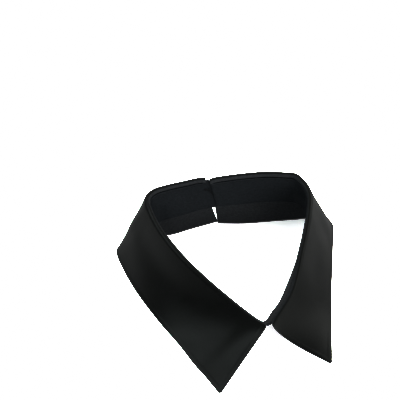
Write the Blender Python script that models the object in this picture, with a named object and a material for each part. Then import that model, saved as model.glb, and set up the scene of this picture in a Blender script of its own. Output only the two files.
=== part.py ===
"""Detachable shirt collar, closed at the back and standing on the lower edge of its two falls.

Metres, +Z up. X runs to the right as seen from the points, and the points look along -Y. The
tables are in millimetres, from the place under the overlap of the neck band at the back.
"""
import bpy
import bmesh
import numpy as np
from mathutils import Vector

MM = 0.001
MIDDLE = (7.0, -74.2, 0.0)     # middle of the footprint, in the tables' frame; it becomes the origin

CLOTH = 1.4                 # wall of every cloth piece, two layers and their interfacing
ROLL_RADIUS = 2.2           # outer radius of the rolled fold along the top
LIP = 0.9                   # fall cloth that runs down inside, below the roll, to the neck seam
SEAM_GAP = 0.45             # parting between the neck seam edges of fall and stand
EDGE_FOOT = 1.6             # width of the flat strip that a fall rests on along its edge
FLATTEST = 86.0             # limit of a fall's slopes, degrees from the vertical
ROLL_STEPS = 7
FALL_STEPS = 12
STAND_STEPS = 5
STEPS_PER_ROW = 3           # sections that are drawn between two rows of a table
NUDGE = 0.05                # step along the fold line for its direction

BUTTON_DIAMETER = 9.0
BUTTON_THICKNESS = 1.4
BUTTON_RIM = 1.2            # raised rim, width
BUTTON_BEVEL = 0.5          # of the rim's outer corners
BUTTON_DISH = 0.4           # depth of the middle below that rim
BUTTON_HOLES = 4
BUTTON_HOLE = 1.3
BUTTON_HOLE_SPACING = 2.3
DRILL_LENGTH = 4.2
BUTTON_X = 8.6              # place across the back
BUTTON_SHARE = 0.56         # place down the height of the band, 0 at its top
BUTTON_GAP = 0.4            # parting between the button and the band end under it
ROUND = 32
HOLE_ROUND = 12

# The band from its hidden left end round the left half to the front: fold line above it,
# how far its top edge lies under the neck seam, and its lower edge.
#    fold_x  fold_y  fold_z    low   foot_x   foot_y  foot_z
BAND_END = [
    (16.5,       0.4,   52.0,   6.4,    17.0,     1.4,   28.0),
    (14.0,       0.5,   52.0,   3.2,    14.4,     1.7,   23.4),
    (4.0,        0.9,   51.6,   2.2,     5.6,     2.4,   22.4),
    (1.4,        1.1,   51.5,   1.4,     2.6,     2.8,   22.0),
    (-0.4,       1.2,   51.5,   0.1,     0.6,     3.0,   21.8),
]
BAND_LEFT = [
    (-1.9,       1.3,   51.5,   0.0,    -1.0,     3.1,   21.6),
    (-7.0,       1.7,   51.9,   0.0,    -7.4,     3.2,   21.3),
    (-20.0,      2.1,   51.1,   0.0,   -19.8,     1.6,   20.9),
    (-34.0,      1.1,   51.0,   0.0,   -33.0,    -0.3,   20.9),
    (-42.4,     -0.5,   50.7,   0.0,   -41.3,    -0.7,   20.0),
    (-47.7,     -4.3,   49.8,   0.0,   -46.7,    -4.7,   19.5),
    (-49.7,    -11.7,   49.4,   0.0,   -48.4,   -12.0,   19.0),
    (-49.0,    -21.2,   48.8,   0.0,   -47.4,   -21.1,   18.4),
    (-47.1,    -32.3,   47.4,   0.0,   -45.0,   -31.7,   17.6),
    (-42.1,    -48.9,   44.2,   0.0,   -38.8,   -47.6,   16.2),
    (-33.2,    -68.5,   39.4,   0.0,   -28.4,   -65.7,   13.4),
    (-22.3,    -85.8,   33.5,   0.0,   -16.2,   -81.1,    9.8),
    (-10.3,   -101.2,   26.8,   0.0,    -3.7,   -95.0,    6.2),
    (0.4,     -113.5,   21.0,   0.0,     5.4,  -102.9,    3.8),
    (8.7,     -121.4,   17.0,   0.0,     9.4,  -106.4,    2.3),
    (12.1,    -123.8,   16.0,   0.0,    11.9,  -108.2,    1.9),
]
BAND_FRONT = [
    (14.0,    -124.6,   16.1,   0.0,    14.0,  -109.0,    1.8),
]
# The right half, from the front to the end that lies on top at the back.
BAND_RIGHT = [
    (16.0,    -124.2,   16.3,   0.0,    16.0,  -108.3,    1.9),
    (19.6,    -121.1,   18.4,   0.0,    18.4,  -106.3,    2.5),
    (26.2,    -115.3,   20.9,   0.0,    22.3,  -102.6,    3.6),
    (33.3,    -108.4,   23.8,   0.0,    27.1,   -98.9,    4.8),
    (43.0,     -93.5,   29.2,   0.0,    35.5,   -88.8,    7.6),
    (50.3,     -79.2,   34.0,   0.0,    44.5,   -76.3,   10.6),
    (58.3,     -64.1,   38.6,   0.0,    54.0,   -62.1,   13.6),
    (66.0,     -47.3,   43.3,   0.0,    63.4,   -46.1,   16.7),
    (70.4,     -33.2,   46.6,   0.0,    68.8,   -32.4,   19.6),
    (70.4,     -25.2,   47.9,   0.0,    69.7,   -24.6,   20.8),
    (68.7,     -18.6,   49.3,   0.0,    69.2,   -17.6,   22.0),
    (65.8,     -13.0,   50.5,   0.0,    66.1,   -12.4,   22.6),
    (56.8,      -8.9,   51.0,   0.0,    57.1,    -8.0,   23.0),
    (43.6,      -4.9,   51.5,   0.0,    43.7,    -4.4,   23.1),
    (27.9,      -2.5,   51.7,   0.0,    28.1,    -1.5,   22.7),
    (12.0,      -1.7,   52.1,   0.0,    13.0,    -0.2,   23.2),
    (5.0,       -1.4,   52.0,   0.0,     7.4,     0.2,   23.6),
    (0.6,       -1.4,   51.1,   0.0,     4.6,     0.4,   24.4),
]
# Outer edge of each fall on the table, a row for each row of the band, and the slopes of the
# fall under the roll and beside the edge as shares of its mean slope.
#    edge_x edge_y   start end
EDGE_LEFT = [
    (4.5,      10.0,  1.6,  1.08),
    (-2.0,      9.2,  1.5,  1.08),
    (-18.0,     7.2,  1.1,  1.08),
    (-37.0,     4.6,  1.2,  1.08),
    (-56.0,     4.4,  1.0,  1.08),
    (-72.2,     2.8,  0.98, 1.08),
    (-79.2,    -2.4,  1.04, 1.06),
    (-79.6,   -11.6,  1.04, 1.06),
    (-76.8,   -26.2,  0.94, 1.08),
    (-71.3,   -47.6,  0.84, 1.1),
    (-64.2,   -69.0,  0.76, 1.16),
    (-55.2,   -92.0,  0.68, 1.26),
    (-46.0,  -113.0,  0.66, 1.3),
    (-38.6,  -132.6,  0.74, 1.2),
    (-32.4,  -146.6,  0.88, 1.1),
    (-27.6,  -158.4,  1.02, 1.0),
]
EDGE_RIGHT = [
    (47.5,   -153.4,  0.6,  1.14),
    (50.2,   -145.4,  0.64, 1.16),
    (53.7,   -134.8,  0.7,  1.18),
    (57.5,   -123.8,  0.76, 1.18),
    (63.5,   -105.8,  0.8,  1.16),
    (69.5,    -88.2,  0.82, 1.14),
    (76.1,    -70.6,  0.84, 1.12),
    (84.4,    -48.6,  0.84, 1.1),
    (91.2,    -31.3,  0.82, 1.1),
    (94.1,    -21.4,  0.74, 1.12),
    (92.3,    -13.2,  0.74, 1.12),
    (85.4,     -8.8,  0.78, 1.1),
    (70.0,     -6.4,  0.9,  1.08),
    (49.0,     -2.7,  1.3,  1.08),
    (31.0,      0.6,  2.4,  1.08),
    (14.6,      5.4,  3.7,  1.08),
    (9.0,       7.4,  3.2,  1.08),
    (5.4,       9.0,  2.6,  1.08),
]

CLOTH_BLACK = (0.0165, 0.0180, 0.0205)
CLOTH_ROUGHNESS = 0.78
BUTTON_BLACK = (0.012, 0.012, 0.013)
BUTTON_ROUGHNESS = 0.35


def clear_scene():
    for item in list(bpy.data.objects):
        bpy.data.objects.remove(item, do_unlink=True)


def material(name, colour, roughness):
    mat = bpy.data.materials.new(name)
    mat.use_nodes = True
    shader = mat.node_tree.nodes["Principled BSDF"]
    shader.inputs["Base Color"].default_value = (*colour, 1.0)
    shader.inputs["Roughness"].default_value = roughness
    shader.inputs["Metallic"].default_value = 0.0
    return mat


def spline(knots, rows, where):
    """Smooth curve through the rows, read at the parameters in `where`."""
    rows = np.asarray(rows, float)
    step = np.diff(knots)
    chord = np.diff(rows, axis=0) / step[:, None]
    slope = np.empty_like(rows)
    slope[0] = chord[0]
    slope[-1] = chord[-1]
    before = step[:-1, None]
    after = step[1:, None]
    slope[1:-1] = (chord[:-1] * after + chord[1:] * before) / (before + after)
    part = np.clip(np.searchsorted(knots, where, side="right") - 1, 0, len(step) - 1)
    t = ((where - knots[part]) / step[part])[:, None]
    width = step[part][:, None]
    return (rows[part] * (2 * t**3 - 3 * t**2 + 1) + slope[part] * width * (t**3 - 2 * t**2 + t)
            + rows[part + 1] * (3 * t**2 - 2 * t**3) + slope[part + 1] * width * (t**3 - t**2))


def unit(vectors):
    return vectors / np.linalg.norm(vectors, axis=-1, keepdims=True)


BAND = BAND_END + BAND_LEFT + BAND_FRONT + BAND_RIGHT
LEFT_FIRST = len(BAND_END)
LEFT_LAST = LEFT_FIRST + len(BAND_LEFT) - 1
RIGHT_FIRST = LEFT_LAST + len(BAND_FRONT) + 1
RIGHT_LAST = len(BAND) - 1


def ring_knots():
    fold = np.array(BAND)[:, :3]
    lengths = np.linalg.norm(np.diff(fold, axis=0), axis=1)
    return np.concatenate([[0.0], np.cumsum(lengths)])


def ring(first, last):
    """Sections of the band between two of its rows, with the directions in and out of the ring."""
    knots = ring_knots()
    where = np.concatenate([np.linspace(knots[i], knots[i + 1], STEPS_PER_ROW, endpoint=False)
                            for i in range(first, last)] + [[knots[last]]])
    rows = spline(knots, BAND, where)
    ahead = spline(knots, BAND, np.minimum(where + NUDGE, knots[-1]))
    behind = spline(knots, BAND, np.maximum(where - NUDGE, 0.0))
    along = unit(ahead[:, :2] - behind[:, :2])
    outward = np.column_stack([along[:, 1], -along[:, 0], np.zeros(len(along))])
    fold = rows[:, :3]
    foot = rows[:, 4:7]
    to_foot = (foot - fold) * [1.0, 1.0, 0.0]
    inset = np.maximum(-np.sum(to_foot * outward, axis=1), 0.0)
    lean = np.arctan2(inset, fold[:, 2] - foot[:, 2])
    turned = np.sin(lean)[:, None]
    inward = unit(unit(to_foot) * turned - outward * (1 - turned))
    return where, fold, outward, inward, lean, np.maximum(rows[:, 3], 0.0), foot


def stand_top(fold, inward, lean, low):
    """Upper edge of the band's middle surface, under the lip of the fall."""
    middle = ROLL_RADIUS - CLOTH / 2
    up = np.array([0.0, 0.0, 1.0])
    inner = fold - up * ROLL_RADIUS + (inward * np.cos(lean)[:, None]
                                       + up * np.sin(lean)[:, None]) * middle
    drop = LIP + SEAM_GAP + low
    return inner + (inward * np.sin(lean)[:, None] - up * np.cos(lean)[:, None]) * drop[:, None]


def grid_normals(grid):
    """Unit normals of a grid of points, away from the ring."""
    across = np.gradient(grid, axis=0)
    down = np.gradient(grid, axis=1)
    return unit(np.cross(down, across))


def band_grid():
    _, fold, _, inward, lean, low, foot = ring(0, RIGHT_LAST)
    top = stand_top(fold, inward, lean, low)
    share = np.linspace(0.0, 1.0, STAND_STEPS + 1)[None, :, None]
    return top[:, None, :] * (1 - share) + foot[:, None, :] * share


def fall_faces(first, last, edges):
    """Outer and inner face of a fall: lip, roll and hanging part, down to the rim of its edge."""
    where, fold, outward, inward, lean, _, _ = ring(first, last)
    edge_rows = spline(ring_knots()[first:last + 1], edges, where)
    edge = np.column_stack([edge_rows[:, :2], np.full(len(edge_rows), CLOTH)])
    up = np.array([0.0, 0.0, 1.0])
    reach = edge - fold
    mean = np.arctan2(np.linalg.norm(reach[:, :2], axis=1), fold[:, 2] - CLOTH)
    start = np.minimum(mean * edge_rows[:, 2], np.radians(FLATTEST))
    end = np.minimum(mean * edge_rows[:, 3], np.radians(FLATTEST))
    centre = fold - up * ROLL_RADIUS
    away = unit(reach * [1.0, 1.0, 0.0])
    turned = np.sin(mean)[:, None]
    hang = unit(outward * (1 - turned) + away * turned)

    def on_roll(angle, radius):
        side = np.where((angle > np.pi / 2)[:, None], -inward, hang)
        return centre + radius * (side * np.cos(angle)[:, None] + up * np.sin(angle)[:, None])

    def roll_rows(radius):
        into = inward * np.sin(lean)[:, None] - up * np.cos(lean)[:, None]
        rows = [on_roll(np.pi - lean, radius) + into * LIP]
        for k in range(ROLL_STEPS + 1):
            share = k / ROLL_STEPS
            rows.append(on_roll((np.pi - lean) * (1 - share) + start * share, radius))
        return rows

    outer = roll_rows(ROLL_RADIUS)
    head = outer[-1]
    length = np.linalg.norm(edge - head, axis=1)[:, None]
    leave = (hang * np.sin(start)[:, None] - up * np.cos(start)[:, None]) * length
    arrive = (away * np.sin(end)[:, None] - up * np.cos(end)[:, None]) * length
    for k in range(1, FALL_STEPS + 1):
        t = k / FALL_STEPS
        outer.append(head * (2 * t**3 - 3 * t**2 + 1) + leave * (t**3 - 2 * t**2 + t)
                     + edge * (3 * t**2 - 2 * t**3) + arrive * (t**3 - t**2))
    outer = np.stack(outer, axis=1)
    rolled = ROLL_STEPS + 2
    inner = outer - grid_normals(outer) * CLOTH
    inner[:, :rolled] = np.stack(roll_rows(ROLL_RADIUS - CLOTH), axis=1)
    inner[:, :, 2] = np.maximum(inner[:, :, 2], 0.0)
    rim = edge * [1.0, 1.0, 0.0]
    inner[:, -1] = rim - away * EDGE_FOOT
    return outer, inner, rim


def solid(name, outer, inner, rims, mat):
    """Closed body from two faces of the same grid, with extra rows along the last edge."""
    sections = len(outer)
    loops = [np.concatenate([outer[i], rims[i], inner[i, ::-1]]) for i in range(sections)]
    count = len(loops[0])
    body = bmesh.new()
    verts = [[body.verts.new(Vector((p - MIDDLE) * MM)) for p in loop] for loop in loops]
    for i in range(sections - 1):
        for j in range(count):
            k = (j + 1) % count
            body.faces.new((verts[i][j], verts[i][k], verts[i + 1][k], verts[i + 1][j]))
    for ends in (verts[0], verts[-1][::-1]):
        low, high = 0, count - 1
        while high - low > 2:
            body.faces.new((ends[low], ends[high], ends[high - 1], ends[low + 1]))
            low += 1
            high -= 1
        if high - low == 2:
            body.faces.new((ends[low], ends[high], ends[low + 1]))
    bmesh.ops.recalc_face_normals(body, faces=body.faces)
    for face in body.faces:
        face.smooth = True
    mesh = bpy.data.meshes.new(name)
    body.to_mesh(mesh)
    body.free()
    mesh.materials.append(mat)
    item = bpy.data.objects.new(name, mesh)
    bpy.context.scene.collection.objects.link(item)
    return item


def make_stand(mat):
    grid = band_grid()
    normal = grid_normals(grid)
    outer = grid + normal * (CLOTH / 2)
    inner = grid - normal * (CLOTH / 2)
    return solid("stand", outer, inner, np.empty((len(grid), 0, 3)), mat)


def make_fall(name, first, last, edges, mat):
    outer, inner, rim = fall_faces(first, last, edges)
    return solid(name, outer, inner, rim[:, None, :], mat)


def make_button(mat):
    """Round four-hole button under the falls, on the outer face of the hidden band end."""
    grid = band_grid()[:len(BAND_END) * STEPS_PER_ROW][::-1]
    line = grid[:, 0] * (1 - BUTTON_SHARE) + grid[:, -1] * BUTTON_SHARE
    across = (grid[:, 0, 0] + grid[:, -1, 0]) / 2

    def at(x, points):
        return np.array([np.interp(x, across, points[:, c]) for c in range(3)])

    reach = BUTTON_DIAMETER / 2
    right = unit(at(BUTTON_X + reach, line) - at(BUTTON_X - reach, line))
    out = unit(np.cross(right, at(BUTTON_X, grid[:, -1]) - at(BUTTON_X, grid[:, 0])))
    down = np.cross(out, right)
    centre = at(BUTTON_X, line) + out * (CLOTH / 2 + BUTTON_GAP)

    radius = BUTTON_DIAMETER / 2
    dish = radius - BUTTON_RIM
    shoulder = radius - BUTTON_BEVEL
    profile = [(shoulder, 0.0), (radius, BUTTON_BEVEL), (radius, BUTTON_THICKNESS - BUTTON_BEVEL),
               (shoulder, BUTTON_THICKNESS), (dish + BUTTON_DISH, BUTTON_THICKNESS),
               (dish, BUTTON_THICKNESS - BUTTON_DISH)]
    turn = [2 * np.pi * k / ROUND for k in range(ROUND)]
    body = bmesh.new()
    rings = [[body.verts.new((r * np.cos(a), r * np.sin(a), h)) for a in turn] for r, h in profile]
    for low_ring, high_ring in zip(rings[:-1], rings[1:]):
        for k in range(ROUND):
            n = (k + 1) % ROUND
            body.faces.new((low_ring[k], low_ring[n], high_ring[n], high_ring[k]))
    body.faces.new(rings[0][::-1])
    body.faces.new(rings[-1])
    bmesh.ops.recalc_face_normals(body, faces=body.faces)
    mesh = bpy.data.meshes.new("button")
    body.to_mesh(mesh)
    body.free()
    item = bpy.data.objects.new("button", mesh)
    bpy.context.scene.collection.objects.link(item)

    for i in range(BUTTON_HOLES):
        angle = np.pi * (2 * i + 1) / BUTTON_HOLES
        spot = Vector((np.cos(angle), np.sin(angle), 0.0)) * (BUTTON_HOLE_SPACING / 2 * 2**0.5)
        drill = bmesh.new()
        bmesh.ops.create_cone(drill, cap_ends=True, segments=HOLE_ROUND, radius1=BUTTON_HOLE / 2,
                              radius2=BUTTON_HOLE / 2, depth=DRILL_LENGTH)
        bmesh.ops.translate(drill, verts=drill.verts, vec=spot)
        drill_mesh = bpy.data.meshes.new("button_hole")
        drill.to_mesh(drill_mesh)
        drill.free()
        cutter = bpy.data.objects.new("button_hole", drill_mesh)
        bpy.context.scene.collection.objects.link(cutter)
        modifier = item.modifiers.new("hole", "BOOLEAN")
        modifier.object = cutter
        modifier.solver = "EXACT"
        bpy.context.view_layer.update()
        drilled = item.evaluated_get(bpy.context.evaluated_depsgraph_get())
        shape = bpy.data.meshes.new_from_object(drilled)
        item.modifiers.clear()
        item.data = shape
        bpy.data.objects.remove(cutter, do_unlink=True)

    for vertex in item.data.vertices:
        x, y, h = vertex.co
        vertex.co = Vector((centre - MIDDLE - right * x - down * y + out * h) * MM)
    item.data.materials.clear()
    item.data.materials.append(mat)
    item.data.shade_smooth()
    return item


clear_scene()
make_stand(material("black_cloth_stand", CLOTH_BLACK, CLOTH_ROUGHNESS))
make_fall("fall_left", LEFT_FIRST, LEFT_LAST, EDGE_LEFT,
          material("black_cloth_left", CLOTH_BLACK, CLOTH_ROUGHNESS))
make_fall("fall_right", RIGHT_FIRST, RIGHT_LAST, EDGE_RIGHT,
          material("black_cloth_right", CLOTH_BLACK, CLOTH_ROUGHNESS))
make_button(material("black_plastic", BUTTON_BLACK, BUTTON_ROUGHNESS))
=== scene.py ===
"""Looks of a detachable shirt collar that closes at the back, on a white table.

The tables are in millimetres in their own frame, from the place under the overlap of the neck band
at the back; MIDDLE takes them to the row's frame. Every cloth piece is a thin shell on the middle
surface of its solid, with turned edges, seam borders, soft troughs and ridges, and raised stitches.
"""

import bpy
import numpy as np
from mathutils import Matrix, Vector

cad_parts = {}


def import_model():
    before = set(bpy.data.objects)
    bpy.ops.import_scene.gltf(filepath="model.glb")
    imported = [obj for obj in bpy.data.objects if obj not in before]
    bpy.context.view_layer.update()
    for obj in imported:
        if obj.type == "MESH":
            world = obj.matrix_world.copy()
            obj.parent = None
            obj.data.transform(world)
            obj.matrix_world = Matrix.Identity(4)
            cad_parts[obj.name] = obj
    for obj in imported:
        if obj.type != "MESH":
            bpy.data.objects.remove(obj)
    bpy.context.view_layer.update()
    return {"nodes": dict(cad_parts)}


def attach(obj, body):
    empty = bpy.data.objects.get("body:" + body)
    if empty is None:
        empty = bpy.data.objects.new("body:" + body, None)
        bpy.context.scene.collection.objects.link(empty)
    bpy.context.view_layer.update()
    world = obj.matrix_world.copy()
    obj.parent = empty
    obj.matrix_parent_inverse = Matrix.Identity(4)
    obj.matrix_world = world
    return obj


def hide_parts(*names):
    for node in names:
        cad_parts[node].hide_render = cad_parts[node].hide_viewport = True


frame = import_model()

MM = 0.001
MIDDLE = np.array([7.0, -74.2, 0.0])
UP = np.array([0.0, 0.0, 1.0])
TINY = 1e-12                # keeps a division from one by zero

# Cloth and roll sizes of the solids
ROLL_RADIUS = 2.2           # outer radius of the rolled fold
ROLL_LIFT = 0.3             # the pressed fold stands this much higher than the solid's
LIP = 0.9                   # fall cloth that runs down inside to the neck seam
SEAM_GAP = 0.45             # from the lip's end down to the top of the band
FLATTEST = 86.0             # a fall's slope is never flatter, in degrees from straight down
NUDGE = 0.05                # step along the ring that gives its direction
OFF_TABLE = 0.05            # an edge stays this far off the table

# The shell that shows
BORDER_HALF = 0.6           # half the thickness of a turned edge, where its allowances lie inside
CLOTH_HALF = 0.5            # half the thickness of the cloth between the borders
ROLL = ROLL_RADIUS - CLOTH_HALF
EDGE_IN = 0.1               # a fall's edge stands this far inside the middle of the solid's
EDGE_FORWARD = 1.1          # up to this much farther in where the fall hangs to the back
EDGE_LIMIT = -0.3           # and up to this share of it farther out where it hangs to the front
BORDER = 2.5                # width of the thicker border beside a turned edge
BORDER_SLOPE = 0.7          # over this width it drops to the plain cloth
FOOT_IN = 1.6               # the band's foot stands this much farther in at the back
NOTCH_X = -0.6              # here, between the falls' back ends, the band's top stands higher
NOTCH_HALF = 2.5            # half width of that rise
NOTCH_RISE = 3.4            # and its height
NOTCH_BEHIND = -20.0        # farther forward than this nothing rises
CALM = 5.0                  # creases fade out this close to an edge
WEAR_AND_SHEEN_WIDTH = 0.9                  # width of the strip along an edge that is worn, polished and painted lighter: partly rubbed wear, partly a painted sheen

# Mesh of the shells
RIM_STEPS = 5               # round half the thickness of an edge
EDGE_PLACES = (1.0, 1.5, 2.0, BORDER, BORDER + BORDER_SLOPE / 2, BORDER + BORDER_SLOPE, 4.0)
SECTION_STEPS = 8           # fine sections between two rows of a table
ROLL_STEPS = 20             # round a fall's roll
LIP_STEPS = 3               # down its lip
FALL_STEPS = 44             # down its hanging part
BAND_STEPS = 12             # down the band
FALL_SIZES = (110, 44)      # even steps along and down a fall between its borders
BAND_SIZES = (200, 12)      # the same for the band
# the fold rows take the under cloth, with its painted light from below
FOLD_ROWS = 9               # rows of a fall that lie on the inside of its fold

# Corner radii: top and foot of the first end, then of the last end
LEFT_CORNERS = (0.6, 0.8, 0.6, 2.0)
RIGHT_CORNERS = (0.6, 2.0, 0.6, 1.6)
BAND_CORNERS = (1.5, 1.5, 0.8, 2.4)

# Bows of the first and the last end edge: shift outwards, power that lifts its widest place
# where it is under 1, and shift of the foot
BOW_TOP = 3.0               # a bowed edge keeps its place over the roll
BOW_REACH = 12.0            # the cloth beside it moves along, over about this distance
STRAIGHT = (0.0, 1.0, 0.0)
LEFT_BOWS = ((-0.9, 1.0, 2.0), (0.6, 0.25, 0.0))
RIGHT_BOWS = ((0.9, 0.25, 0.0), (-1.0, 1.0, -0.6))

# Neck band: fold line over it, how far its top lies under the neck seam, and its lower edge.
#    fold_x  fold_y  fold_z    low   foot_x   foot_y  foot_z
BAND_END = [
    (16.5,       0.4,   52.0,   6.4,    17.0,     1.4,   28.0),
    (14.0,       0.5,   52.0,   3.2,    14.4,     1.7,   23.4),
    (4.0,        0.9,   51.6,   2.2,     5.6,     2.4,   22.4),
    (1.4,        1.1,   51.5,   1.4,     2.6,     2.8,   22.0),
    (-0.4,       1.2,   51.5,   0.1,     0.6,     3.0,   21.8),
]
BAND_LEFT = [
    (-1.9,       1.3,   51.5,   0.0,    -1.0,     3.1,   21.6),
    (-7.0,       1.7,   51.9,   0.0,    -7.4,     3.2,   21.3),
    (-20.0,      2.1,   51.1,   0.0,   -19.8,     1.6,   20.9),
    (-34.0,      1.1,   51.0,   0.0,   -33.0,    -0.3,   20.9),
    (-42.4,     -0.5,   50.7,   0.0,   -41.3,    -0.7,   20.0),
    (-47.7,     -4.3,   49.8,   0.0,   -46.7,    -4.7,   19.5),
    (-49.7,    -11.7,   49.4,   0.0,   -48.4,   -12.0,   19.0),
    (-49.0,    -21.2,   48.8,   0.0,   -47.4,   -21.1,   18.4),
    (-47.1,    -32.3,   47.4,   0.0,   -45.0,   -31.7,   17.6),
    (-42.1,    -48.9,   44.2,   0.0,   -38.8,   -47.6,   16.2),
    (-33.2,    -68.5,   39.4,   0.0,   -28.4,   -65.7,   13.4),
    (-22.3,    -85.8,   33.5,   0.0,   -16.2,   -81.1,    9.8),
    (-10.3,   -101.2,   26.8,   0.0,    -3.7,   -95.0,    6.2),
    (0.4,     -113.5,   21.0,   0.0,     5.4,  -102.9,    3.8),
    (8.7,     -121.4,   17.0,   0.0,     9.4,  -106.4,    2.3),
    (12.1,    -123.8,   16.0,   0.0,    11.9,  -108.2,    1.9),
]
BAND_FRONT = [
    (14.0,    -124.6,   16.1,   0.0,    14.0,  -109.0,    1.8),
]
BAND_RIGHT = [
    (16.0,    -124.2,   16.3,   0.0,    16.0,  -108.3,    1.9),
    (19.6,    -121.1,   18.4,   0.0,    18.4,  -106.3,    2.5),
    (26.2,    -115.3,   20.9,   0.0,    22.3,  -102.6,    3.6),
    (33.3,    -108.4,   23.8,   0.0,    27.1,   -98.9,    4.8),
    (43.0,     -93.5,   29.2,   0.0,    35.5,   -88.8,    7.6),
    (50.3,     -79.2,   34.0,   0.0,    44.5,   -76.3,   10.6),
    (58.3,     -64.1,   38.6,   0.0,    54.0,   -62.1,   13.6),
    (66.0,     -47.3,   43.3,   0.0,    63.4,   -46.1,   16.7),
    (70.4,     -33.2,   46.6,   0.0,    68.8,   -32.4,   19.6),
    (70.4,     -25.2,   47.9,   0.0,    69.7,   -24.6,   20.8),
    (68.7,     -18.6,   49.3,   0.0,    69.2,   -17.6,   22.0),
    (65.8,     -13.0,   50.5,   0.0,    66.1,   -12.4,   22.6),
    (56.8,      -8.9,   51.0,   0.0,    57.1,    -8.0,   23.0),
    (43.6,      -4.9,   51.5,   0.0,    43.7,    -4.4,   23.1),
    (27.9,      -2.5,   51.7,   0.0,    28.1,    -1.5,   22.7),
    (12.0,      -1.7,   52.1,   0.0,    13.0,    -0.2,   23.2),
    (5.0,       -1.4,   52.0,   0.0,     7.4,     0.2,   23.6),
    (0.6,       -1.4,   51.1,   0.0,     4.6,     0.4,   24.4),
]
# Outer edge of each fall, a row for each row of the band, and the slopes under the roll and
# beside the edge as shares of its mean slope.
#    edge_x edge_y   start end
EDGE_LEFT = [
    (4.5,      10.0,  1.6,  1.08),
    (-2.0,      9.2,  1.5,  1.08),
    (-18.0,     7.2,  1.1,  1.08),
    (-37.0,     4.6,  1.2,  1.08),
    (-56.0,     4.4,  1.0,  1.08),
    (-72.2,     2.8,  0.98, 1.08),
    (-79.2,    -2.4,  1.04, 1.06),
    (-79.6,   -11.6,  1.04, 1.06),
    (-76.8,   -26.2,  0.94, 1.08),
    (-71.3,   -47.6,  0.84, 1.1),
    (-64.2,   -69.0,  0.76, 1.16),
    (-55.2,   -92.0,  0.68, 1.26),
    (-46.0,  -113.0,  0.66, 1.3),
    (-38.6,  -132.6,  0.74, 1.2),
    (-32.4,  -146.6,  0.88, 1.1),
    (-27.6,  -158.4,  1.02, 1.0),
]
EDGE_RIGHT = [
    (47.5,   -153.4,  0.6,  1.14),
    (50.2,   -145.4,  0.64, 1.16),
    (53.7,   -134.8,  0.7,  1.18),
    (57.5,   -123.8,  0.76, 1.18),
    (63.5,   -105.8,  0.8,  1.16),
    (69.5,    -88.2,  0.82, 1.14),
    (76.1,    -70.6,  0.84, 1.12),
    (84.4,    -48.6,  0.84, 1.1),
    (91.2,    -31.3,  0.82, 1.1),
    (94.1,    -21.4,  0.74, 1.12),
    (92.3,    -13.2,  0.74, 1.12),
    (85.4,     -8.8,  0.78, 1.1),
    (70.0,     -6.4,  0.9,  1.08),
    (49.0,     -2.7,  1.3,  1.08),
    (31.0,      0.6,  2.4,  1.08),
    (14.6,      5.4,  3.7,  1.08),
    (9.0,       7.4,  3.2,  1.08),
    (5.4,       9.0,  2.6,  1.08),
]

# Soft troughs (depth below 0) and ridges: place along and down the piece from its first corner,
# turn from the direction along, half length, half width and depth.
#    along   down  turn  half_length  half_width  depth
CREASES_LEFT = [
    (118.0,  26.0,   4.0,   46.0,  13.0, -1.3),
    (168.0,  20.0,   4.0,   26.0,  12.0, -0.3),
    (66.0,   32.0,  86.0,   18.0,   9.0, 0.8),
    (48.0,   30.0,  80.0,   17.0,   6.0, -0.3),
    (88.0,   34.0,  20.0,   22.0,   8.0, 0.3),
    (24.0,   30.0,  12.0,   20.0,   8.0, -0.4),
    (150.0,  46.0,   8.0,   30.0,   9.0, 0.15),
]
CREASES_RIGHT = [
    (52.0,   24.0,  -6.0,   40.0,  12.0, -0.7),
    (92.0,   33.0,  70.0,   16.0,   7.0, 0.35),
    (121.0,  34.0,  86.0,   17.0,   9.0, 0.9),
    (140.0,  28.0,  96.0,   15.0,   6.0, -0.3),
    (24.0,   38.0,  14.0,   22.0,   8.0, 0.3),
    (165.0,  30.0,  -6.0,   24.0,   8.0, -0.35),
]
CREASES_BAND = [
    (38.0,   12.0,  12.0,   12.0,   3.5, -0.25),
    (58.0,   13.0, -30.0,   10.0,   3.0, -0.3),
    (66.0,   14.0,  35.0,    9.0,   3.0, 0.25),
    (110.0,  12.0,   8.0,   26.0,   4.0, -0.2),
    (250.0,  10.0,  -6.0,   26.0,   4.0, 0.2),
    (318.0,  12.0,  70.0,    9.0,   4.0, -0.35),
    (332.0,  11.0,  20.0,   12.0,   3.5, 0.3),
    (352.0,  15.0,   0.0,   22.0,   2.6, -0.2),
]

# Sewing
THREAD = 0.17               # radius of the sewing thread
THREAD_SIDES = 6
THREAD_PINCH = 0.35         # its radius at both ends, as a share
STITCH = 2.1                # length of a stitch
STITCH_STEP = 2.5           # from one stitch to the next
STITCH_POINTS = 5           # points along a stitch
STITCH_SUNK = 0.75          # depth of its ends in the cloth, in radii of the thread
STITCH_ARCH = 1.1           # rise of its middle over them
EDGE_STITCH = 1.5           # from an edge to its row of stitches
ROW_SKIP = 2.0              # a row along an edge begins and ends this far in
END_ROW_SKIP = 2.5          # a row along an end edge
HOLE_FROM = (-3.8, 0.38)    # buttonhole: place across the back and share of the band's height
HOLE_TO = (9.5, 0.57)
HOLE_PITCH = 0.42           # from one satin stitch to the next
HOLE_SLIT = 0.24            # half width of the slit
HOLE_SUNK = 0.16            # depth of the slit's thread
HOLE_BAR = 1.15             # half width over both bars
HOLE_BARS = 3               # closed stitches at each end
SATIN_LIFTS = (0.1, 0.9, 0.9, -0.6)     # heights along a satin stitch, in radii of the thread
SATIN_THREAD = 0.9          # radius of a satin stitch, in radii of the thread
BACK_SECTIONS = 50          # sections of the band that hold the buttonhole
BUTTON_THICKNESS = 1.4
BUTTON_DISH = 0.4           # depth of its dished face
BUTTON_HOLE_SPACING = 2.3   # from one of its four holes to the next
STRANDS = (-1, 0, 1)        # side by side in a bar over the button
STRAND_APART = 1.7          # from one to the next, in radii of the thread
STRAND_END = 0.1            # way of a strand inside its hole
STRAND_LIFTS = (-0.9, 0.05, 0.3, 0.36, 0.3, 0.05, -0.9)     # heights along it over the face
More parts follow.
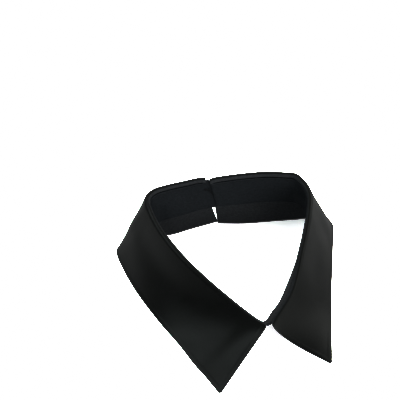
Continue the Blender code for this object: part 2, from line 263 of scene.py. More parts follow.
UPPER_SIDE = 0.001          # lift that only tells a thread where its upper side is


def hermite(t, start, leave, end, arrive):
    """Points from start to end on a curve that leaves and arrives with these slopes."""
    return (start * (2 * t**3 - 3 * t**2 + 1) + leave * (t**3 - 2 * t**2 + t)
            + end * (3 * t**2 - 2 * t**3) + arrive * (t**3 - t**2))


def spline(knots, rows, where):
    """Smooth curve through the rows, read at the parameters in `where`."""
    rows = np.asarray(rows, float)
    step = np.diff(knots)
    chord = np.diff(rows, axis=0) / step[:, None]
    slope = np.empty_like(rows)
    slope[0] = chord[0]
    slope[-1] = chord[-1]
    before = step[:-1, None]
    after = step[1:, None]
    slope[1:-1] = (chord[:-1] * after + chord[1:] * before) / (before + after)
    part = np.clip(np.searchsorted(knots, where, side="right") - 1, 0, len(step) - 1)
    t = ((where - knots[part]) / step[part])[:, None]
    width = step[part][:, None]
    return hermite(t, rows[part], slope[part] * width, rows[part + 1], slope[part + 1] * width)


def unit(vectors):
    return vectors / np.maximum(np.linalg.norm(vectors, axis=-1, keepdims=True), TINY)


BAND = BAND_END + BAND_LEFT + BAND_FRONT + BAND_RIGHT
LEFT_FIRST = len(BAND_END)
LEFT_LAST = LEFT_FIRST + len(BAND_LEFT) - 1
RIGHT_FIRST = LEFT_LAST + len(BAND_FRONT) + 1
RIGHT_LAST = len(BAND) - 1


def ring_knots():
    fold = np.array(BAND)[:, :3]
    lengths = np.linalg.norm(np.diff(fold, axis=0), axis=1)
    return np.concatenate([[0.0], np.cumsum(lengths)])


def ring(first, last):
    """Fine sections of the band between two of its rows, with the directions in and out."""
    knots = ring_knots()
    where = np.concatenate([np.linspace(knots[i], knots[i + 1], SECTION_STEPS, endpoint=False)
                            for i in range(first, last)] + [[knots[last]]])
    rows = spline(knots, BAND, where)
    ahead = spline(knots, BAND, np.minimum(where + NUDGE, knots[-1]))
    behind = spline(knots, BAND, np.maximum(where - NUDGE, 0.0))
    along = unit(ahead[:, :2] - behind[:, :2])
    outward = np.column_stack([along[:, 1], -along[:, 0], np.zeros(len(along))])
    fold = rows[:, :3]
    foot = rows[:, 4:7]
    to_foot = (foot - fold) * [1.0, 1.0, 0.0]
    inset = np.maximum(-np.sum(to_foot * outward, axis=1), 0.0)
    lean = np.arctan2(inset, fold[:, 2] - foot[:, 2])
    turned = np.sin(lean)[:, None]
    inward = unit(unit(to_foot) * turned - outward * (1 - turned))
    return where, fold, outward, inward, lean, np.maximum(rows[:, 3], 0.0), foot


def down_the_band(inward, lean):
    return inward * np.sin(lean)[:, None] - UP * np.cos(lean)[:, None]


def band_surface():
    """Middle surface of the neck band, from its neck seam down to its lower edge."""
    _, fold, _, inward, lean, low, foot = ring(0, RIGHT_LAST)
    side = inward * np.cos(lean)[:, None] + UP * np.sin(lean)[:, None]
    notch = np.exp(-((fold[:, 0] - NOTCH_X) / NOTCH_HALF)**2) * (fold[:, 1] > NOTCH_BEHIND)
    drop = (LIP + SEAM_GAP + low - NOTCH_RISE * notch)[:, None]
    top = fold - UP * ROLL_RADIUS + side * ROLL + down_the_band(inward, lean) * drop
    share = np.linspace(0.0, 1.0, BAND_STEPS + 1)[None, :, None]
    off_fall = inward * (FOOT_IN * np.maximum(-inward[:, 1:2], 0.0) * [1.0, 1.0, 0.0])
    straight = top[:, None, :] * (1 - share) + foot[:, None, :] * share
    return straight + off_fall[:, None, :] * share**2


def fall_surface(first, last, edges):
    """Middle surface of a fall: lip, roll and hanging part, down to its outer edge on the table."""
    where, fold, outward, inward, lean, _, _ = ring(first, last)
    edge_rows = spline(ring_knots()[first:last + 1], edges, where)
    edge = np.column_stack([edge_rows[:, :2], np.zeros(len(edge_rows))])
    away = unit((edge - fold) * [1.0, 1.0, 0.0])
    edge -= away * (EDGE_IN + EDGE_FORWARD * np.maximum(away[:, 1:2], EDGE_LIMIT))
    mean = np.arctan2(np.linalg.norm((edge - fold)[:, :2], axis=1), fold[:, 2])
    start = np.minimum(mean * edge_rows[:, 2], np.radians(FLATTEST))
    end = np.minimum(mean * edge_rows[:, 3], np.radians(FLATTEST))
    edge[:, 2] = BORDER_HALF * (1 - np.cos(end)) + OFF_TABLE
    centre = fold - UP * (ROLL_RADIUS - ROLL_LIFT)
    turned = np.sin(mean)[:, None]
    hang = unit(outward * (1 - turned) + away * turned)
    rows = []
    for k in range(LIP_STEPS):
        angle = np.pi - lean
        on_roll = centre + ROLL * (inward * -np.cos(angle)[:, None] + UP * np.sin(angle)[:, None])
        rows.append(on_roll + down_the_band(inward, lean) * LIP * (1 - k / LIP_STEPS))
    for k in range(ROLL_STEPS + 1):
        share = k / ROLL_STEPS
        angle = (np.pi - lean) * (1 - share) + start * share
        side = np.where((angle > np.pi / 2)[:, None], -inward, hang)
        rows.append(centre + ROLL * (side * np.cos(angle)[:, None] + UP * np.sin(angle)[:, None]))
    head = rows[-1]
    length = np.linalg.norm(edge - head, axis=1)[:, None]
    leave = (hang * np.sin(start)[:, None] - UP * np.cos(start)[:, None]) * length
    arrive = (away * np.sin(end)[:, None] - UP * np.cos(end)[:, None]) * length
    for k in range(1, FALL_STEPS + 1):
        rows.append(hermite(k / FALL_STEPS, head, leave, edge, arrive))
    return np.stack(rows, axis=1)


def lengths_along(line):
    return np.concatenate([[0.0], np.cumsum(np.linalg.norm(np.diff(line, axis=0), axis=1))])


def places(length, plain):
    """Distances along a line: close ones at the rims and borders, `plain` even ones between."""
    turn = np.linspace(0.0, np.pi / 2, RIM_STEPS + 1)
    rim = BORDER_HALF * (1 - np.cos(turn))
    close = np.concatenate([rim, EDGE_PLACES])
    middle = np.linspace(close[-1], length - close[-1], plain + 2)[1:-1]
    return np.concatenate([close, middle, (length - close)[::-1]])


def redrawn(grid, plain):
    """The grid with each of its lines along axis 0 drawn again at its places."""
    lines = []
    for j in range(grid.shape[1]):
        line = grid[:, j]
        knots = lengths_along(line)
        lines.append(spline(knots, line, places(knots[-1], plain)))
    return np.stack(lines, axis=1)


def normals_of(grid):
    """Unit normals of a grid of points, on the outer face of the cloth."""
    across = np.gradient(grid, axis=0)
    down = np.gradient(grid, axis=1)
    return unit(np.cross(down, across))


def distances(grid):
    """Length from each point to the first and last point of its line along axis 0."""
    steps = np.linalg.norm(np.diff(grid, axis=0), axis=2)
    start = np.concatenate([np.zeros((1, grid.shape[1])), np.cumsum(steps, axis=0)])
    return start, start[-1][None] - start


def bowed(grid, bows):
    """Carries both end edges outwards by their bows, in the cloth's own surface."""
    down, down_end = (d.T for d in distances(np.swapaxes(grid, 0, 1)))
    hanging = np.clip((down - BOW_TOP) / (down + down_end - BOW_TOP), 0.0, 1.0)
    along = unit(np.gradient(grid, axis=0))
    moved = grid
    for to_end, outward, (bow, power, tail) in zip(distances(grid), (-along, along), bows):
        amount = bow * np.sin(np.pi * hanging**power) + tail * hanging**2
        amount = amount * np.exp(-(to_end / BOW_REACH)**2)
        moved = moved + outward * amount[..., None]
    return moved


def rounded(grid, corners):
    """Rounds the four corners in the cloth's own surface."""
    inward_u = unit(np.gradient(grid, axis=0))
    inward_v = unit(np.gradient(grid, axis=1))
    along, along_end = distances(grid)
    down, down_end = (d.T for d in distances(np.swapaxes(grid, 0, 1)))
    ends = ((along, inward_u), (along_end, -inward_u))
    rims = ((down, inward_v), (down_end, -inward_v))
    radii = iter(corners)
    moved = grid
    for to_end, from_end in ends:
        for to_rim, from_rim in rims:
            radius = next(radii)
            p = np.clip(radius - to_end, 0.0, None)
            q = np.clip(radius - to_rim, 0.0, None)
            shrink = np.maximum(p, q) / np.maximum(np.hypot(p, q), TINY)
            cut = np.where((p > 0) & (q > 0), 1 - shrink, 0.0)
            moved = moved + from_end * (p * cut)[..., None] + from_rim * (q * cut)[..., None]
    return moved


class Shell:
    """Cloth piece: middle surface, its normals and thickness, and the mesh around them."""

    def __init__(self, name, surface, sizes, corners, creases, bows=(STRAIGHT, STRAIGHT)):
        self.name = name
        grid = redrawn(np.swapaxes(surface, 0, 1), sizes[1])
        grid = redrawn(np.swapaxes(grid, 0, 1), sizes[0])
        grid = rounded(bowed(grid, bows), corners)
        along, along_end = distances(grid)
        down, down_end = (d.T for d in distances(np.swapaxes(grid, 0, 1)))
        normal = normals_of(grid)
        inside = np.min([along, along_end, down, down_end], axis=0)
        calm = 1 - np.exp(-(inside / CALM)**2)
        for place, depth_at, turn, half_length, half_width, depth in creases:
            turn = np.radians(turn)
            a = along - place
            b = down - depth_at
            s = (a * np.cos(turn) + b * np.sin(turn)) / half_length
            t = (b * np.cos(turn) - a * np.sin(turn)) / half_width
            grid = grid + normal * (depth * calm * np.exp(-s**2 - t**2))[..., None]
        self.grid = grid
        self.normal = normals_of(grid)
        self.along = along
        self.down = down
        self.edge = inside
        turned_edge = np.min([along, along_end, down_end], axis=0)
        half = CLOTH_HALF + (BORDER_HALF - CLOTH_HALF) * step_down(turned_edge)
        for d in (along, along_end, down, down_end):
            over = np.clip(1 - d / BORDER_HALF, 0.0, 1.0)
            half = half * np.sqrt(1 - over**2)
        self.half = half

    def build(self, mat, under, fold_rows=0):
        """Mesh of the shell, with the cloth `under` on its inner face and on its first rows; for the falls
        that is the under cloth, painted lighter as light from below.
        """
        sections, rows = self.half.shape
        number = np.arange(sections * rows).reshape(sections, rows)
        back = number.copy()
        inner = np.arange((sections - 2) * (rows - 2)).reshape(sections - 2, rows - 2)
        back[1:-1, 1:-1] = sections * rows + inner
        front_points = self.grid + self.normal * self.half[..., None]
        back_points = (self.grid - self.normal * self.half[..., None])[1:-1, 1:-1]
        points = np.concatenate([front_points.reshape(-1, 3), back_points.reshape(-1, 3)])
        quads = []
        for i in range(sections - 1):
            for j in range(rows - 1):
                quads.append((number[i, j], number[i, j + 1], number[i + 1, j + 1], number[i + 1, j]))
                quads.append((back[i, j], back[i + 1, j], back[i + 1, j + 1], back[i, j + 1]))
        item = mesh_object(self.name, points, quads, mat)
        item.data.materials.append(under)
        slots = [(int(j < fold_rows), 1) for i in range(sections - 1) for j in range(rows - 1)]
        item.data.polygons.foreach_set("material_index", np.ravel(slots))
        middle = self.along[sections // 2]
        cloth = np.stack([self.along - middle[None], self.down, np.zeros_like(self.down)], axis=2)
        both = [cloth.reshape(-1, 3), cloth[1:-1, 1:-1].reshape(-1, 3)]
        store(item, "cloth", np.concatenate(both) * MM)
        # strip along the edges that carries the wear and the painted sheen
        wear_and_sheen = np.exp(-(self.edge / WEAR_AND_SHEEN_WIDTH)**2)
        store(item, "wear_and_sheen", np.concatenate([wear_and_sheen.ravel(), wear_and_sheen[1:-1, 1:-1].ravel()]))
        return item

    def line_down(self, distance, from_end=False):
        """Points, normals and half thickness on a line across all sections, at a distance."""
        return self.read(self.grid, self.normal, self.half, distance, from_end)

    def line_along(self, distance, from_end=False):
        """The same on a line beside the first or last section."""
        turned = (np.swapaxes(self.grid, 0, 1), np.swapaxes(self.normal, 0, 1), self.half.T)
        return self.read(*turned, distance, from_end)

    def read(self, grid, normal, half, distance, from_end):
        points, normals, halves = [], [], []
        for i in range(grid.shape[0]):
            knots = lengths_along(grid[i])
            at = knots[-1] - distance if from_end else distance
            points.append([np.interp(at, knots, grid[i, :, c]) for c in range(3)])
            normals.append([np.interp(at, knots, normal[i, :, c]) for c in range(3)])
            halves.append(np.interp(at, knots, half[i]))
        return np.array(points), unit(np.array(normals)), np.array(halves)


def step_down(distance):
    t = np.clip((distance - BORDER) / BORDER_SLOPE, 0.0, 1.0)
    return 1 - t * t * (3 - 2 * t)


def mesh_object(name, points, faces, mat):
    mesh = bpy.data.meshes.new(name)
    mesh.from_pydata([Vector(p) for p in (points - MIDDLE) * MM], [], [tuple(map(int, f)) for f in faces])
    mesh.materials.append(mat)
    mesh.shade_smooth()
    mesh.update()
    item = bpy.data.objects.new(name, mesh)
    bpy.context.scene.collection.objects.link(item)
    return item


def store(item, name, values):
    if values.ndim == 2:
        layer = item.data.attributes.new(name, "FLOAT_VECTOR", "POINT")
        layer.data.foreach_set("vector", values.astype(np.float32).ravel())
    else:
        layer = item.data.attributes.new(name, "FLOAT", "POINT")
        layer.data.foreach_set("value", values.astype(np.float32).ravel())


def thread_run(path, lift, radius):
    """Tube along a path of points, lifted by the vectors in `lift`, with pinched ends."""
    points = path + lift
    tangent = unit(np.gradient(points, axis=0))
    side = unit(np.cross(tangent, unit(lift)))
    over = np.cross(side, tangent)
    sides = THREAD_SIDES
    turn = np.linspace(0.0, 2 * np.pi, sides, endpoint=False)[:, None]
    thick = np.full(len(points), radius)
    thick[[0, -1]] = radius * THREAD_PINCH
    ring_points = [points[i] + thick[i] * (side[i] * np.cos(turn) + over[i] * np.sin(turn))
                   for i in range(len(points))]
    faces = []
    for i in range(len(points) - 1):
        for k in range(sides):
            n = (k + 1) % sides
            faces.append((i * sides + k, i * sides + n, (i + 1) * sides + n, (i + 1) * sides + k))
    faces.append(tuple(range(sides))[::-1])
    faces.append(tuple(range((len(points) - 1) * sides, len(points) * sides)))
    return np.concatenate(ring_points), faces


class Threads:
    """Collects tubes of thread into one mesh."""

    def __init__(self):
        self.points = []
        self.faces = []
        self.count = 0

    def add(self, points, faces):
        self.points.append(points)
        self.faces += [tuple(v + self.count for v in f) for f in faces]
        self.count += len(points)

    def build(self, name, mat):
        return mesh_object(name, np.concatenate(self.points), self.faces, mat)


def sew(threads, line, face, skip):
    """Row of stitches along a line of a shell, on its outer (1) or inner (-1) face."""
    points, normals, halves = line
    knots = lengths_along(points)
    surface = points + normals * (halves * face)[:, None]
    arch = np.sin(np.linspace(0.0, np.pi, STITCH_POINTS))
    heights = THREAD * (STITCH_ARCH * arch - STITCH_SUNK)
    start = skip
    while start + STITCH < knots[-1] - skip:
        at = np.linspace(start, start + STITCH, STITCH_POINTS)
        path = np.column_stack([np.interp(at, knots, surface[:, c]) for c in range(3)])
        up = unit(np.column_stack([np.interp(at, knots, normals[:, c]) for c in range(3)])) * face
        threads.add(*thread_run(path, up * heights[:, None], THREAD))
        start += STITCH_STEP


def place_on(shell, x, share):
    """Point, normal and half thickness of the shell where its row at `share` has this x."""
    row = int(round(share * (shell.grid.shape[1] - 1)))
    first_run = shell.grid[:BACK_SECTIONS, row]
    order = np.argsort(first_run[:, 0])
    parts = [first_run[order, c] for c in range(3)]
    parts += [shell.normal[:BACK_SECTIONS, row][order, c] for c in range(3)]
    parts.append(shell.half[:BACK_SECTIONS, row][order])
    read = [np.interp(x, first_run[order, 0], part) for part in parts]
    return np.array(read[:3]), unit(np.array(read[3:6])), read[6]


def spot_on(shell, x, share):
    """The same between two rows."""
    last = shell.grid.shape[1] - 1
    low = np.floor(share * last) / last
    high = np.ceil(share * last) / last
    part = 0.0 if high == low else (share - low) / (high - low)
    below = place_on(shell, x, low)
    above = place_on(shell, x, high)
    return [a * (1 - part) + b * part for a, b in zip(below, above)]


def buttonhole(threads, shell):
    """Slit with a bar of satin stitches along each side and across each end, on both faces."""
    steps = int((HOLE_TO[0] - HOLE_FROM[0]) / HOLE_PITCH)
    centres = []
    for k in range(steps + 1):
        t = k / steps
        centres.append(spot_on(shell, *(np.array(HOLE_FROM) * (1 - t) + np.array(HOLE_TO) * t)))
    points = np.array([c[0] for c in centres])
    normals = unit(np.array([c[1] for c in centres]))
    halves = np.array([c[2] for c in centres])
    along = unit(np.gradient(points, axis=0))
    across = np.cross(normals, along)
    for face in (-1, 1):
        skin = points + normals * (halves * face)[:, None]
        up = normals * face
        threads.add(*thread_run(skin, up * -HOLE_SUNK, HOLE_SLIT))
        for k in range(steps + 1):
            at_end = k < HOLE_BARS or k > steps - HOLE_BARS
            for side in (-1, 1):
                near = 0.0 if at_end else HOLE_SLIT
                reach = np.linspace(near, HOLE_BAR, len(SATIN_LIFTS))[:, None] * side
                path = skin[k] + across[k] * reach
                lift = up[k] * THREAD * np.array(SATIN_LIFTS)[:, None]
                threads.add(*thread_run(path, lift, THREAD * SATIN_THREAD))


def button_sewing(threads, item, shell):
    """Thread in the four holes, in two bars over the button's face."""
    corners = np.array([item.matrix_world @ v.co for v in item.data.vertices]) / MM + MIDDLE
    middle = (corners.min(axis=0) + corners.max(axis=0)) / 2
    left_of, _, _ = spot_on(shell, middle[0] - BUTTON_THICKNESS, HOLE_TO[1])
    right_of, _, _ = spot_on(shell, middle[0] + BUTTON_THICKNESS, HOLE_TO[1])
    _, out_axis, _ = spot_on(shell, middle[0], HOLE_TO[1])
    right_axis = unit(right_of - left_of)
    down_axis = np.cross(out_axis, right_axis)
    centre = middle - out_axis * (BUTTON_THICKNESS / 2)
    half = BUTTON_HOLE_SPACING / 2
    face = BUTTON_THICKNESS - BUTTON_DISH
    run = np.array([-half - STRAND_END, -half, -half / 2, 0.0, half / 2, half, half + STRAND_END])
    height = face + np.array(STRAND_LIFTS)
    for side in (-1, 1):
        for strand in STRANDS:
            row = right_axis * (side * half + strand * THREAD * STRAND_APART)
            path = centre + row + down_axis * run[:, None] + out_axis * height[:, None]
            threads.add(*thread_run(path, np.zeros_like(path) + out_axis * UPPER_SIDE, THREAD))


# Materials
# Scales count per metre of the flat cloth, tones and heights are shares of what a map gives.

THREAD_PITCH = 0.00030      # from one thread of the weave to the next
THREAD_HEIGHT = 0.6         # of the weave, halfway between two crossings
CROSSING_HEIGHT = 0.4       # up where it lies over the other thread, down where it lies under it
SLUB_SCALES = ((150.0, 2200.0, 1.0), (2000.0, 170.0, 1.0))
SLUB_TONE = 0.45
SLUB_HEIGHT = 0.9
DYE_TONE = 0.5
DYE_ROUGHNESS = 0.16
MOTTLE_TONE = 1.6
MOTTLE_HEIGHT = 2.4
TONE_DOWN = 1.0             # brings the sum of the tones down to the dark colour
# lighter colour along the edges: partly rubbed wear, partly a painted sheen
WEAR_AND_SHEEN_TONE = 0.15
WORN_ROUGHNESS = -0.1

FALL_DARK = (0.0012, 0.0014, 0.0013)
FALL_LIGHT = (0.0056, 0.0064, 0.0060)
FALL_TINT = (0.95, 1.0, 0.98)
FALL_ROUGH = 0.45
FALL_GLOSS = 0.36
# The band and under cloths are lighter, bluer copies of the falls' black cloth: painted light on the band
# and on the falls' undersides.
BAND_PAINTED_LIT_DARK = (0.0085, 0.0104, 0.0124)
BAND_PAINTED_LIT_LIGHT = (0.0285, 0.0330, 0.0385)
BAND_TINT = (0.82, 0.92, 1.0)
BAND_ROUGH = 0.58
BAND_GLOSS = 0.22
# under cloth: lighter still, painted light from below on the falls' undersides and fold rows
UNDER_PAINTED_LIT_DARK = (0.0200, 0.0215, 0.0235)
UNDER_PAINTED_LIT_LIGHT = (0.0660, 0.0705, 0.0765)
SEWING_DARK = (0.0035, 0.00385, 0.0042)
SEWING_LIGHT = (0.00675, 0.007425, 0.0081)
BUTTON_DARK = (0.006, 0.006, 0.007)
BUTTON_LIGHT = (0.022, 0.022, 0.024)
BUTTON_ROUGH = 0.2
BUTTON_CLOUDS = 0.2         # its roughness grows by up to this in the clouds


def join(tree, item, inputs):
    """Links each named socket of a node to another socket, or sets it to a value."""
    for key, value in inputs.items():
        if isinstance(value, bpy.types.NodeSocket):
            tree.links.new(value, item.inputs[key])
        else:
            item.inputs[key].default_value = value


def node(tree, kind, inputs=None, **settings):
    item = tree.nodes.new(kind)
    for key, value in settings.items():
        setattr(item, key, value)
    join(tree, item, inputs or {})
    return item


def maths(tree, operation, *values):
    return node(tree, "ShaderNodeMath", dict(enumerate(values)), operation=operation).outputs[0]


def plus(tree, total, part, share):
    return maths(tree, "ADD", total, maths(tree, "MULTIPLY", part, share))


def noise(tree, place, scale, detail, roughness=0.5, distortion=0.0):
    return node(tree, "ShaderNodeTexNoise", {"Vector": place, "Scale": scale, "Detail": detail,
                                             "Roughness": roughness, "Distortion": distortion}).outputs[0]


def blend(tree, factor, dark, light):
    return node(tree, "ShaderNodeMix", {"Factor": factor, "A": (*dark, 1.0), "B": (*light, 1.0)},
                data_type="RGBA", clamp_factor=True).outputs["Result"]


def relief(tree, height, strength, depth):
    return node(tree, "ShaderNodeBump", {"Height": height, "Strength": strength,
                                         "Distance": depth}).outputs[0]


def new_material(name):
    mat = bpy.data.materials.new(name)
    mat.use_nodes = True
    return mat, mat.node_tree, mat.node_tree.nodes["Principled BSDF"]


def weave_height(tree, cloth):
    """Height of a plain weave, whose warp and weft cross over and under in turn."""
    turns = node(tree, "ShaderNodeVectorMath", {0: cloth, "Scale": np.pi / THREAD_PITCH},
                 operation="SCALE").outputs[0]
    parts = node(tree, "ShaderNodeSeparateXYZ", {0: turns}).outputs
    warp = maths(tree, "SINE", parts[0])
    weft = maths(tree, "SINE", parts[1])
    cross = maths(tree, "MULTIPLY", warp, weft)
    heights = []
    for thread, rise in ((warp, CROSSING_HEIGHT), (weft, -CROSSING_HEIGHT)):
        top = maths(tree, "MULTIPLY_ADD", cross, rise, THREAD_HEIGHT)
        heights.append(maths(tree, "MULTIPLY", maths(tree, "ABSOLUTE", thread), top))
    return maths(tree, "MAXIMUM", *heights)


def cloth_material(name, dark, light, tint, rough, gloss):
    """Fine plain weave: threads as relief, slubs and dye as colour, edges slightly polished and lighter in
    colour, partly rubbed wear and partly a painted sheen.
    """
    mat, tree, shader = new_material(name)
    cloth = node(tree, "ShaderNodeAttribute", attribute_name="cloth").outputs["Vector"]
    wear_and_sheen = node(tree, "ShaderNodeAttribute", attribute_name="wear_and_sheen").outputs["Fac"]
    slubs = []
    for scale in SLUB_SCALES:
        stretched = node(tree, "ShaderNodeVectorMath", {0: cloth, 1: scale}, operation="MULTIPLY").outputs[0]
        slubs.append(noise(tree, stretched, scale=1.0, detail=2.0))
    slub = maths(tree, "ADD", *slubs)
    dye = noise(tree, cloth, scale=60.0, detail=3.0, roughness=0.55)
    mottle = noise(tree, cloth, scale=620.0, detail=3.0, roughness=0.6)
    tone = maths(tree, "MULTIPLY", slub, SLUB_TONE)
    tone = plus(tree, tone, dye, DYE_TONE)
    tone = plus(tree, tone, mottle, MOTTLE_TONE)
    tone = maths(tree, "SUBTRACT", tone, TONE_DOWN)
    # edges painted lighter: partly rubbed wear, partly a painted sheen
    tone = plus(tree, tone, wear_and_sheen, WEAR_AND_SHEEN_TONE)
    roughness = maths(tree, "MULTIPLY_ADD", dye, DYE_ROUGHNESS, rough - DYE_ROUGHNESS / 2)
    height = plus(tree, weave_height(tree, cloth), slub, SLUB_HEIGHT)
    height = plus(tree, height, mottle, MOTTLE_HEIGHT)
    join(tree, shader, {
        "Base Color": blend(tree, tone, dark, light),
        "Roughness": plus(tree, roughness, wear_and_sheen, WORN_ROUGHNESS),
        "Normal": relief(tree, height, strength=0.2, depth=0.00006),
        "Specular IOR Level": gloss,
        "Specular Tint": (*tint, 1.0),
    })
    return mat


def thread_material():
    """Black sewing thread with a fine twist."""
    mat, tree, shader = new_material("thread_black")
    place = node(tree, "ShaderNodeTexCoord").outputs["Object"]
    twist = noise(tree, place, scale=2600.0, detail=2.0)
    join(tree, shader, {
        "Base Color": blend(tree, twist, SEWING_DARK, SEWING_LIGHT),
        "Normal": relief(tree, twist, strength=0.4, depth=0.00005),
        "Roughness": 0.55,
        "Specular IOR Level": 0.35,
    })
    return mat


def button_material():
    """Black plastic, slightly clouded."""
    mat, tree, shader = new_material("button_plastic")
    place = node(tree, "ShaderNodeTexCoord").outputs["Object"]
    cloud = noise(tree, place, scale=420.0, detail=4.0, distortion=1.4)
    join(tree, shader, {
        "Base Color": blend(tree, cloud, BUTTON_DARK, BUTTON_LIGHT),
        "Roughness": maths(tree, "MULTIPLY_ADD", cloud, BUTTON_CLOUDS, BUTTON_ROUGH),
    })
    return mat


fall_cloth = cloth_material("fall_cloth_black", FALL_DARK, FALL_LIGHT, FALL_TINT, FALL_ROUGH, FALL_GLOSS)
# band cloth: the black cloth painted lighter and bluer, as painted light
band_cloth_painted_lit = cloth_material("band_cloth_black_painted_lit", BAND_PAINTED_LIT_DARK, BAND_PAINTED_LIT_LIGHT, BAND_TINT, BAND_ROUGH, BAND_GLOSS)
# under cloth: the black cloth painted lighter, as painted light from below
under_cloth_painted_lit = cloth_material("under_cloth_black_painted_lit", UNDER_PAINTED_LIT_DARK, UNDER_PAINTED_LIT_LIGHT, BAND_TINT, BAND_ROUGH,
                             BAND_GLOSS)
thread_black = thread_material()


# Pieces

band = Shell("stand_cloth", band_surface(), BAND_SIZES, BAND_CORNERS, CREASES_BAND)
left = Shell("fall_left_cloth", fall_surface(LEFT_FIRST, LEFT_LAST, EDGE_LEFT), FALL_SIZES,
             LEFT_CORNERS, CREASES_LEFT, LEFT_BOWS)
right = Shell("fall_right_cloth", fall_surface(RIGHT_FIRST, RIGHT_LAST, EDGE_RIGHT), FALL_SIZES,
              RIGHT_CORNERS, CREASES_RIGHT, RIGHT_BOWS)
band_piece = band.build(band_cloth_painted_lit, band_cloth_painted_lit)
left_piece = left.build(fall_cloth, under_cloth_painted_lit, FOLD_ROWS)
right_piece = right.build(fall_cloth, under_cloth_painted_lit, FOLD_ROWS)

button = frame["nodes"]["button"]
plastic = button_material()
for slot_item in button.material_slots:
    slot_item.material = plastic

band_sewing = Threads()
for face in (-1, 1):
    for at_last in (True, False):
        sew(band_sewing, band.line_down(EDGE_STITCH, at_last), face, ROW_SKIP)
    for at_last in (False, True):
        sew(band_sewing, band.line_along(EDGE_STITCH, at_last), face, END_ROW_SKIP)
buttonhole(band_sewing, band)
button_sewing(band_sewing, button, band)
band_threads = band_sewing.build("stand_stitches", thread_black)

for piece, node_name in ((band_piece, "stand"), (left_piece, "fall_left"), (right_piece, "fall_right")):
    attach(piece, "root")
    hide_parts(node_name)
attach(band_threads, "root")


# Stage, light and camera

WHITE = (1.0, 1.0, 1.0, 1.0)
FLOOR_HALF = 6.0            # metres
FLOOR_COLOUR = (0.9, 0.9, 0.9, 1.0)
FLOOR_GLOW = 0.08           # light that the floor gives off, which helps it print white
SKY_BRIGHT = 0.01           # brightness of all that lies around the softboxes


def stage():
    mesh = bpy.data.meshes.new("floor")
    corners = [(x * FLOOR_HALF, y * FLOOR_HALF, 0.0) for x, y in ((-1, -1), (1, -1), (1, 1), (-1, 1))]
    mesh.from_pydata(corners, [], [(0, 1, 2, 3)])
    floor = bpy.data.objects.new("floor", mesh)
    bpy.context.scene.collection.objects.link(floor)
    mat, tree, shader = new_material("floor_white")
    join(tree, shader, {
        "Base Color": FLOOR_COLOUR,
        "Roughness": 1.0,
        "Specular IOR Level": 0.0,
        "Emission Color": WHITE,
        "Emission Strength": FLOOR_GLOW,
    })
    mesh.materials.append(mat)


# Softboxes around the table: direction and half angles in degrees, brightness and colour.
#    name           azimuth  elevation  half_wide  half_high  bright  colour
SOFTBOXES = [
    ("front_low",     274.0,      7.5,      14.0,       7.0,    3.6, (1.0, 1.0, 1.0)),
    ("right_low",     300.0,      7.5,      14.0,       7.0,    2.0, (1.0, 1.0, 1.0)),
    ("front_box",     290.0,     27.0,      20.0,      12.0,    0.25, (1.0, 1.0, 1.0)),
    ("side_box",      337.0,     27.0,      20.0,      12.0,    0.5, (1.0, 1.0, 0.97)),
    ("right_box",      25.0,     28.0,      20.0,      13.0,    1.0, (1.0, 1.0, 0.97)),
    ("back_box",       84.0,     39.0,      15.0,       6.0,    1.0, (1.0, 1.0, 1.0)),
    ("high_right",    330.0,     52.0,      26.0,      14.0,    0.3, (1.0, 1.0, 0.97)),
    ("high_left",     150.0,     52.0,      26.0,      14.0,    0.9, (0.93, 1.0, 1.0)),
]
LIGHT_DISTANCE = 1.5        # metres
LIGHT_UNIT = 4.0            # watts a square metre for a brightness of 1
ALL_COLOURS = 3             # the print curve that holds for red, green and blue
FLOOR_WHITE = 0.12          # scene brightness printed as white
DARK_END = 0.08             # up to here the print is as bright as the scene


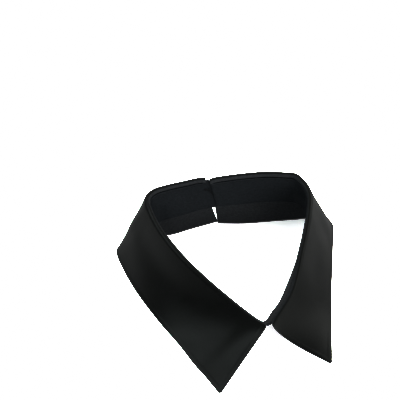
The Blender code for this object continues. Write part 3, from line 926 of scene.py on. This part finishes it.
def softbox(name, azimuth, elevation, half_wide, half_high, bright, colour):
    azimuth, elevation = np.radians((azimuth, elevation))
    half_wide, half_high = np.radians((half_wide, half_high))
    lamp = bpy.data.lights.new(name, "AREA")
    lamp.shape = "RECTANGLE"
    lamp.size = 2 * LIGHT_DISTANCE * np.tan(half_wide)
    lamp.size_y = 2 * LIGHT_DISTANCE * np.tan(half_high)
    lamp.energy = bright * lamp.size * lamp.size_y * LIGHT_UNIT
    lamp.color = colour
    towards = Vector((np.cos(azimuth) * np.cos(elevation), np.sin(azimuth) * np.cos(elevation),
                      np.sin(elevation)))
    item = bpy.data.objects.new(name, lamp)
    item.location = towards * LIGHT_DISTANCE
    item.rotation_euler = (-towards).to_track_quat("-Z", "Y").to_euler()
    bpy.context.scene.collection.objects.link(item)


def world():
    sky = bpy.data.worlds.new("studio")
    bpy.context.scene.world = sky
    sky.use_nodes = True
    back = sky.node_tree.nodes["Background"]
    back.inputs["Color"].default_value = WHITE
    back.inputs["Strength"].default_value = SKY_BRIGHT


def develop():
    """Print curve of the picture: darks as they are, the pale floor up to white."""
    view = bpy.context.scene.view_settings
    view.view_transform = "Standard"
    view.use_curve_mapping = True
    curve = view.curve_mapping.curves[ALL_COLOURS]
    curve.points[0].location = (0.0, 0.0)
    curve.points[1].location = (1.0, 1.0)
    curve.points.new(FLOOR_WHITE, 1.0)
    curve.points.new(DARK_END, DARK_END)
    for point in curve.points:
        point.handle_type = "VECTOR"
    view.curve_mapping.update()


CAMERA_AZIMUTH = -7.0       # degrees from straight in front of the points
CAMERA_ELEVATION = 38.0
CAMERA_ROLL = -6.0
CAMERA_DISTANCE = 0.60      # metres
CAMERA_TARGET = (-0.01002, 0.11551, 0.0)
CAMERA_LENS = 62.64         # millimetres
CAMERA_SENSOR = 36.0


def camera():
    azimuth, elevation, roll = np.radians((CAMERA_AZIMUTH, CAMERA_ELEVATION, CAMERA_ROLL))
    back = Vector((np.sin(azimuth) * np.cos(elevation), -np.cos(azimuth) * np.cos(elevation),
                   np.sin(elevation)))
    level = Vector((np.cos(azimuth), np.sin(azimuth), 0.0))
    upward = back.cross(level)
    right_axis = level * np.cos(roll) + upward * np.sin(roll)
    up_axis = upward * np.cos(roll) - level * np.sin(roll)
    lens = bpy.data.cameras.new("camera")
    lens.sensor_width = CAMERA_SENSOR
    lens.lens = CAMERA_LENS
    item = bpy.data.objects.new("camera", lens)
    turn = Matrix((right_axis, up_axis, back)).transposed().to_4x4()
    item.matrix_world = Matrix.Translation(Vector(CAMERA_TARGET) + back * CAMERA_DISTANCE) @ turn
    bpy.context.scene.collection.objects.link(item)
    bpy.context.scene.camera = item


stage()
world()
for box in SOFTBOXES:
    softbox(*box)
camera()
develop()
